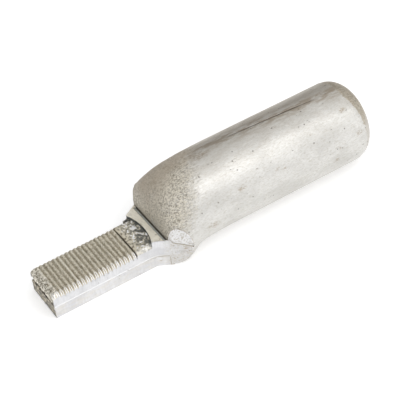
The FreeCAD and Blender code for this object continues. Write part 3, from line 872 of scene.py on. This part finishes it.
def paintDrawn():
    finish = drawnFinish
    surface, spot, (x, y, z) = startMaterial("drawnTube")
    lines = grain(spot, (0.06, 1, 1), 2.6)
    grit = grain(spot, (0.4, 1, 1), 3.4, 0.14)
    cloud = stretched(spot, (0.5, 1, 1), 0.24, 5.0, 0.65)
    dull = mapped(cloud, 0.38, 0.66, 0.0, finish["cloudShare"])
    color = blend(dull, "clean", "cleanDark")
    color = blend(times(lines["Value"], finish["grainShare"]), color, "cleanDark")
    color = blend(times(grit["Value"], finish["gritShare"]), color, "cleanDark")
    speck = stretched(spot, (0.35, 1, 1), 5.0, 2.0, 0.7)
    color = blend(mapped(speck, 0.5, 0.36, 0.0, finish["speckShare"]), color, "rim")

    # the drawn line that winds slowly along the top, the dirt beside it, and dirt with a painted dark
    # reflection behind it
    angle = maths("ARCTAN2", z, y)
    wander = times(less(stretched(spot, (0.3, 0, 0), 1.0)), 0.02)
    start = math.radians(finish["lineAngle"] - finish["lineAt"] * finish["lineTurn"])
    along = plus(start, times(x, math.radians(finish["lineTurn"])))
    away = plus(less(angle, along), wander)
    beside = absolute(away)
    smudge = mapped(stretched(spot, (0.3, 1, 1), 0.8, 5.0, 0.7), 0.4, 0.6)
    onTop = times(mapped(y, -9.0, -2.0, 0.12, 1.0), mapped(z, -4.0, 3.0))
    byLine = times(mapped(beside, 0.3, 0.03), finish["dirtByLine"])
    dirtAndBackShade = times(smudge, plus(finish["dirtAndBackShade"], byLine), onTop)
    # darker behind the line, towards the back and top: dirt and a painted dark reflection
    behind = times(mapped(away, 0.02, -0.3), finish["dirtAndShadeBehind"], mapped(z, 0.0, 4.0))
    dirtAndBackShade = plus(dirtAndBackShade, behind)
    # warmer towards the back and top: partly patina, partly a painted dark reflection
    backTintAndShade = times(mapped(y, -7.0, 4.0, 0.0, finish["backTintAndShadeShare"]), mapped(z, -6.0, 4.0))
    color = blend(backTintAndShade, color, "press")
    color = blend(dirtAndBackShade, color, "stain")

    # the grain of the press on the shoulder
    pressed = layer("press")
    ragged = plus(pressed, times(less(grit["Height"]), 1.3))
    ragged = plus(ragged, times(less(cloud), 0.9))
    pressed = times(mapped(ragged, 0.15, 1.15), mapped(pressed, 0.0, 0.3))
    grains = stretched(spot, (0.35, 1, 1), 4.4, 4.0, 0.8)
    pressColor = blend(mapped(grains, 0.44, 0.54), "pressDark", "press")
    pressColor = blend(mapped(cloud, 0.4, 0.65, 0.0, 0.25), pressColor, "press")
    # painted shade: darker towards the top and back of the shoulder
    shoulderTopShade = plus(y, times(less(cloud), 6.0))
    shoulderTopShade = times(mapped(shoulderTopShade, -2.5, 3.0), mapped(z, 0.0, 5.0), finish["shoulderTopShadeShare"])
    pressColor = blend(shoulderTopShade, pressColor, "stain")
    color = blend(times(pressed, finish["pressShare"]), color, pressColor)

    # the rolled rim, cut away raggedly
    bite = times(less(stretched(spot, (0.5, 1, 1), 1.6, 4.0, 0.75)), 1.5)
    bitten = less(x, mapped(y, -1.5, -8.5, 0.0, 1.5))
    rim = mapped(plus(bitten, bite), finish["rimAt"], finish["rimEdge"])
    rim = times(rim, mapped(plus(z, times(bite, 5.0)), 1.5, 6.0, 0.3, 1.0))
    rimLines = stretched(spot, (1, 0.04, 0.04), 7.0, 2.0, 0.6)
    rimColor = blend(mapped(rimLines, 0.3, 0.7), "rim", "stain")
    rimColor = blend(mapped(grit["Height"], 0.45, 0.6, 0.0, 0.5), rimColor, "press")
    color = blend(times(rim, finish["rimShare"]), color, rimColor)

    drawnLine = times(mapped(beside, 0.026, 0.008), mapped(x, -31.5, -27.0), mapped(x, -6.5, -13.0),
                      mapped(lines["Height"], 0.35, 0.5, 0.6, 1.0))
    pits = pitMask(spot, 0.8, 0.16, 0.4)
    drawnOut = vector("MULTIPLY", spot, (0.35, 1, 1))
    nicks = pitMask(drawnOut, 1.7, 0.17, 0.12)
    pits = most(pits, times(nicks, 0.8))
    burr = times(mapped(layer("burr"), 0.1, 0.9), 0.6)
    color = blend(burr, color, "stain")
    stains = spots(spot, finish["stains"])
    color = blend(times(stains, 0.75), color, "stain")
    color = blend(most(times(pits, 0.7), times(drawnLine, 0.9)), color, "pitsAndCreaseShade")
    link(color, surface.inputs["Base Color"])
    rubbed = mapped(cloud, 0.3, 0.7, finish["roughLow"], finish["roughHigh"])
    rubbed = plus(rubbed, times(pressed, 0.12))
    link(plus(rubbed, times(rim, 0.06)), surface.inputs["Roughness"])
    metal = mapped(pressed, 0.0, 1.0, 1.0, finish["pressMetallic"])
    link(metal, surface.inputs["Metallic"])
    gritDepth = plus(finish["gritDepth"], times(pressed, finish["pressDepth"]))
    bump(surface, (lines["Height"], finish["grainDepth"]), (grit["Height"], gritDepth),
         (pits, finish["pitDepth"]), (drawnLine, finish["lineDepth"]), (stains, finish["stainDepth"]),
         (times(rim, rimLines), finish["rimDepth"]), (times(pressed, grains), finish["grainsDepth"]))


pressedFinish = {  # shares are from 0 to 1, depths in mm and places along the lug in mm
    "metallic": 0.7,
    "roughLow": 0.46,
    "roughHigh": 0.6,
    "ribGrit": 1.7,
    "dotShare": 0.7,
    "crestShare": 0.6,
    "tornShare": 0.85,
    "fieldMarksAndShadow": 0.85,
    "landGrit": 0.4,
    "wrapPale": 0.5,
    "tickHighlightShare": 0.95,
    "pitShare": 0.55,
    "scoreShare": 0.9,
    "gritDepth": 0.1,
    "cloudDepth": 0.12,
    "pitDepth": -0.08,
    "lumpDepth": 0.3,
}


def paintPressed():
    finish = pressedFinish
    surface, spot, (x, y, z) = startMaterial("pressedTop")
    crest, nearEdge = layer("crest"), layer("nearEdge")
    grit = grain(spot, (1, 0.5, 1), 2.6, 0.16)
    cloud = stretched(spot, (1, 1, 1), 0.9, 4.0, 0.6)

    # the ribs, pale on the crests, and speckled where the tip is torn
    gritty = plus(crest, times(less(grit["Height"]), finish["ribGrit"]))
    ribColor = blend(mapped(gritty, 0.1, 0.75), "valley", "crest")
    ribColor = blend(mapped(cloud, 0.4, 0.7, 0.0, 0.3), ribColor, "press")
    dots = stretched(spot, (1, 0.8, 1), 3.2, 3.0, 0.75)
    ribColor = blend(mapped(dots, 0.5, 0.38, 0.0, finish["dotShare"]), ribColor, "pressDark")
    ribColor = blend(mapped(crest, 0.82, 1.0, 0.0, finish["crestShare"]), ribColor, "tornLight")
    worn = mapped(plus(x, times(less(cloud), 3.0)), -73.6, -74.8)
    speckle = blend(mapped(stretched(spot, (1, 1, 1), 2.4, 3.0, 0.75), 0.44, 0.55), "pressDark",
                    "tornLight")
    ribColor = blend(times(worn, finish["tornShare"]), ribColor, speckle)

    # the bruised field, with painted shadow darkest under the step
    field = blend(mapped(cloud, 0.35, 0.65), "field", "crest")
    field = blend(mapped(grit["Height"], 0.5, 0.38, 0.0, finish["fieldMarksAndShadow"]), field, "pressDark")
    lump = stretched(spot, (0.8, 0.8, 0.8), 1.5, 3.0, 0.6)
    nearStep = mapped(x, -56.1, -53.2)
    # painted shadow in the field's hollows close to the step
    stepShadow = times(mapped(lump, 0.53, 0.46), nearStep, finish["fieldMarksAndShadow"])
    field = blend(stepShadow, field, "shade")
    glints = times(mapped(lump, 0.55, 0.6), mapped(x, -56.0, -54.8))
    field = blend(glints, field, "paintedHighlight")
    color = blend(mapped(x, -56.35, -56.25), ribColor, field)

    # the step, the land and the groove behind it
    landColor = blend(times(grit["Value"], finish["landGrit"]), "landTop", "press")
    onLand = mapped(z, -2.28, -2.16)
    step = times(mapped(z, -3.0, -2.85), less(1.0, onLand))
    color = blend(times(step, mapped(x, -51.0, -51.2)), color, "shade")
    color = blend(onLand, color, landColor)
    inGroove = times(mapped(x, -50.62, -50.5), less(1.0, mapped(z, -2.18, -2.12)))
    color = blend(inGroove, color, "groove")
    # painted shade: a dark line in the crease at the shoulder's foot
    color = blend(times(mapped(x, -50.02, -49.9), 0.95), color, "pitsAndCreaseShade")

    # the near edge, where the ribs wrap over, with painted highlights on the rib ticks
    wrapped = times(nearEdge, mapped(x, -56.25, -56.4))
    color = blend(times(wrapped, finish["wrapPale"]), color, "tornLight")
    tickHighlights = times(wrapped, mapped(crest, 0.1, 0.5), finish["tickHighlightShare"])
    color = blend(tickHighlights, color, "paintedHighlight")
    rubbed = times(nearEdge, mapped(x, -56.35, -56.2), 0.5)
    color = blend(rubbed, color, "clean")
    pits = pitMask(spot, 1.0, 0.2, 0.3)
    color = blend(times(pits, finish["pitShare"]), color, "pitsAndCreaseShade")
    scored = times(band(x, pin["ribEnd"], 0.14, 0.05), mapped(y, 4.2, 1.0))
    color = blend(times(scored, finish["scoreShare"]), color, "pitsAndCreaseShade")
    link(color, surface.inputs["Base Color"])
    roughness = mapped(cloud, 0.3, 0.7, finish["roughLow"], finish["roughHigh"])
    link(roughness, surface.inputs["Roughness"])
    surface.inputs["Metallic"].default_value = finish["metallic"]
    bump(surface, (grit["Height"], finish["gritDepth"]), (cloud, finish["cloudDepth"]),
         (pits, finish["pitDepth"]), (times(lump, nearStep), finish["lumpDepth"]))


shearedFinish = {  # shares are from 0 to 1 and depths in mm
    "roughLow": 0.4,
    "roughHigh": 0.52,
    "dragShare": 0.3,
    "cloudShare": 0.35,
    "smearShare": 0.35,
    "gritShare": 0.16,
    "earGrit": 0.5,
    "foldTurn": -0.42,  # the fold's line on the ear: its level at foldAt and its fall for each mm
    "foldAt": 48.0,
    "foldLevel": -3.45,
    "dragDepth": 0.05,
    "smearDepth": 0.06,
    "cutDepth": -0.12,
    "pitDepth": -0.05,
    "gritDepth": 0.09,
    "ledgeDepth": 0.05,
    "earDepth": 0.1,
    "stains": (
        ((-46.6, -8.2, -5.2), 1.7, (1, 1, 1)), ((-47.4, -7.7, -7.0), 0.5, (1, 1, 2.5)),
        ((-46.2, -8.4, -3.6), 0.5, (1, 1, 1.5)), ((-62.0, -4.9, -7.4), 0.18, (1, 1, 1)),
        ((-70.0, -4.9, -7.8), 0.16, (1, 1, 1)), ((-51.5, -5.4, -7.6), 0.5, (0.5, 1, 1.5))),
}


def paintSheared():
    finish = shearedFinish
    surface, spot, (x, y, z) = startMaterial("shearedSide")
    drag = grain(spot, (1, 1, 0.12), 2.2, 0.18)
    smear = grain(spot, (0.3, 0.3, 1), 1.5, 0.16)
    grit = grain(spot, (1, 1, 1), 3.2, 0.14)
    lowerWall = mapped(z, seamLevel + 0.05, seamLevel - 0.05)
    ear = mapped(x, -51.5, -49.0)
    near = mapped(y, 0.0, -1.0)
    cloud = stretched(spot, (0.5, 0.5, 1), 0.5, 4.0, 0.65)
    dragged = times(drag["Value"], finish["dragShare"])
    color = blend(dragged, "sheared", "shearedDark")
    color = blend(mapped(cloud, 0.46, 0.62, 0.0, finish["cloudShare"]), color, "shearedDark")
    color = blend(times(smear["Value"], lowerWall, finish["smearShare"]), color, "press")
    gritty = plus(finish["gritShare"], times(ear, finish["earGrit"]))
    color = blend(times(grit["Value"], gritty), color, "cleanDark")

    # the ledge where the two walls meet, with a painted highlight along it, and painted shade in the gap
    # that opens beside the step
    wander = times(less(stretched(spot, (1, 0.3, 0), 0.6)), 0.35)
    level = less(z, times(wander, mapped(x, -57.0, -52.0, 0.2, 1.0)))
    onPin = mapped(x, -52.0, -54.5)
    ledge = times(band(level, seamLevel - 0.04, 0.15, 0.05), plus(0.25, onPin))
    broken = mapped(drag["Height"], 0.35, 0.6, 0.35, 0.75)
    color = blend(times(ledge, broken), color, "paintedHighlight")
    gapShade = times(band(level, seamLevel - 0.42, 0.13, 0.03), mapped(x, -54.2, -53.2), mapped(x, -49.7, -49.9))

    # the fold across the near ear, painted shade in its crease, and brighter above it with painted glints
    fold = times(plus(x, finish["foldAt"]), finish["foldTurn"])
    fold = plus(fold, finish["foldLevel"])
    fold = plus(fold, times(mapped(x, -48.9, -50.0), 2.2))
    overFold = less(z, fold)
    foldShade = times(mapped(absolute(overFold), 0.15, 0.04), mapped(x, -49.8, -49.2), near)
    above = times(mapped(overFold, 0.05, 0.4), mapped(x, -50.0, -49.2))
    glints = times(above, mapped(grit["Height"], 0.42, 0.58), 0.35)
    color = blend(glints, color, "paintedHighlight")
    dark = times(ear, mapped(grit["Height"], 0.48, 0.38), 0.7)
    color = blend(dark, color, "valley")
    # the burr along the edge, raised in the mesh, with a painted highlight on it
    burr = times(mapped(layer("burr"), 0.1, 0.9), 0.8)
    color = blend(burr, color, "paintedHighlight")
    scar = times(band(x, -49.78, 0.09, 0.03), mapped(z, -6.6, -6.8), near, 0.6)
    stains = times(spots(spot, finish["stains"]), mapped(grit["Height"], 0.35, 0.6, 0.8, 0.4))
    color = blend(stains, color, "stain")
    # painted shade in the fold's crease and in the gap, with the scar
    creaseAndGapShadeAndScar = most(most(foldShade, scar), times(gapShade, 0.7))
    color = blend(creaseAndGapShadeAndScar, color, "valley")
    pits = pitMask(spot, 0.9, 0.13, 0.3)
    color = blend(times(pits, 0.6), color, "pressDark")
    link(color, surface.inputs["Base Color"])
    roughness = mapped(smear["Height"], 0.3, 0.7, finish["roughLow"], finish["roughHigh"])
    link(roughness, surface.inputs["Roughness"])
    grits = times(grit["Height"], plus(0.3, ear))
    bump(surface, (drag["Height"], finish["dragDepth"]), (smear["Height"], finish["smearDepth"]),
         (creaseAndGapShadeAndScar, finish["cutDepth"]), (pits, finish["pitDepth"]), (grits, finish["gritDepth"]),
         (ledge, finish["ledgeDepth"]), (above, finish["earDepth"]))


def paintTorn():
    surface, spot, axes = startMaterial("tornTip")
    grit = grain(spot, (1, 1, 0.7), 2.2, 0.14)
    coarse = grain(spot, (1, 1, 1), 0.9, 0.12)
    light = blend(grit["Value"], "pressDark", "tornLight")
    dark = blend(grit["Value"], "torn", "field")
    dark = blend(times(coarse["Value"], 0.7), dark, "shade")
    color = blend(mapped(axes["Z"], seamLevel + 0.1, seamLevel + 0.5), dark, light)
    slit = band(axes["Z"], seamLevel, 0.4, 0.12)
    color = blend(times(slit, coarse["Value"]), color, "pitsAndCreaseShade")
    link(color, surface.inputs["Base Color"])
    surface.inputs["Roughness"].default_value = 0.62
    bump(surface, (grit["Height"], 0.25), (coarse["Height"], 0.3))


def paintBore():
    surface, spot, axes = startMaterial("boreWall")
    lines = grain(spot, (0.05, 1, 1), 2.4)
    color = blend(times(lines["Value"], 0.5), "bore", "cleanDark")
    link(color, surface.inputs["Base Color"])
    surface.inputs["Roughness"].default_value = 0.45
    bump(surface, (lines["Height"], 0.05), strength=0.7)


for paint in (paintDrawn, paintPressed, paintSheared, paintTorn, paintBore):
    paint()
print("stage: materials painted")

stage = {
    "size": 4.0,
    "floor": (0.88, 0.88, 0.88, 1),  # as it lights the part
    "seenFloor": (0.9, 0.9, 0.9, 1),  # as the camera, the metal and glass show it
    "glow": (0.29, 0.29, 0.29, 1),  # lifts the seen floor to white and keeps the shadow soft
    "sky": 0.9,  # strength of the brightest sky
    "dark": 0.2,  # strength of the darkest sky
    "skyFrom": (0.1, -0.55, 0.83),  # where the sky is brightest
    "aim": (-0.035, 0, 0),
    "lamps": {  # place and size in m, energy in W
        "key": {"place": (0.0, -0.28, 0.42), "energy": 0.62, "size": (0.5, 0.3)},
        "fill": {"place": (0.3, -0.4, 0.15), "energy": 0.22, "size": (0.4, 0.4)},
    },
}


def makeFloor():
    bm = bmesh.new()
    bmesh.ops.create_grid(bm, x_segments=2, y_segments=2, size=stage["size"] / 2)
    bmesh.ops.translate(bm, vec=(0, 0, bottom * mm), verts=bm.verts)
    mesh = bpy.data.meshes.new("floor")
    bm.to_mesh(mesh)
    bm.free()
    floor = bpy.data.objects.new("floor", mesh)
    bpy.context.scene.collection.objects.link(floor)
    material = bpy.data.materials.new("floorWhite")
    surface = startNodes(material).nodes["Principled BSDF"]
    surface.inputs["Roughness"].default_value = 0.95
    surface.inputs["Specular IOR Level"].default_value = 0.0
    surface.inputs["Emission Strength"].default_value = 1.0
    rays = addNode("LightPath").outputs
    seen = most(rays["Is Camera Ray"], rays["Is Glossy Ray"])
    seen = most(seen, rays["Is Transmission Ray"])
    link(blend(seen, stage["floor"], stage["seenFloor"]), surface.inputs["Base Color"])
    link(blend(seen, (0, 0, 0, 1), stage["glow"]), surface.inputs["Emission Color"])
    mesh.materials.append(material)


def makeSky():  # a soft sky that is brightest behind the camera and falls off round it
    world = bpy.data.worlds.new("studio")
    bpy.context.scene.world = world
    background = startNodes(world).nodes["Background"]
    outward = addNode("TexCoord").outputs["Generated"]
    toward = addNode("VectorMath", {0: outward, 1: Vector(stage["skyFrom"]).normalized()},
                     operation="DOT_PRODUCT").outputs["Value"]
    level = mapped(toward, -0.55, 0.75, stage["dark"], stage["sky"])
    link(level, background.inputs["Strength"])
    background.inputs["Color"].default_value = (1, 1, 1, 1)


def addLamps():
    for name, given in stage["lamps"].items():
        lamp = bpy.data.lights.new(name, "AREA")
        lamp.energy, lamp.size = given["energy"], given["size"][0]
        if given["size"][0] != given["size"][1]:
            lamp.shape, lamp.size_y = "RECTANGLE", given["size"][1]
        item = bpy.data.objects.new(name, lamp)
        item.location = given["place"]
        toAim = Vector(stage["aim"]) - Vector(given["place"])
        item.rotation_euler = toAim.to_track_quat("-Z", "Y").to_euler()
        bpy.context.scene.collection.objects.link(item)


makeFloor()
makeSky()
addLamps()
bpy.context.scene.view_settings.view_transform = "Standard"
print("stage: floor, sky and lamps set")
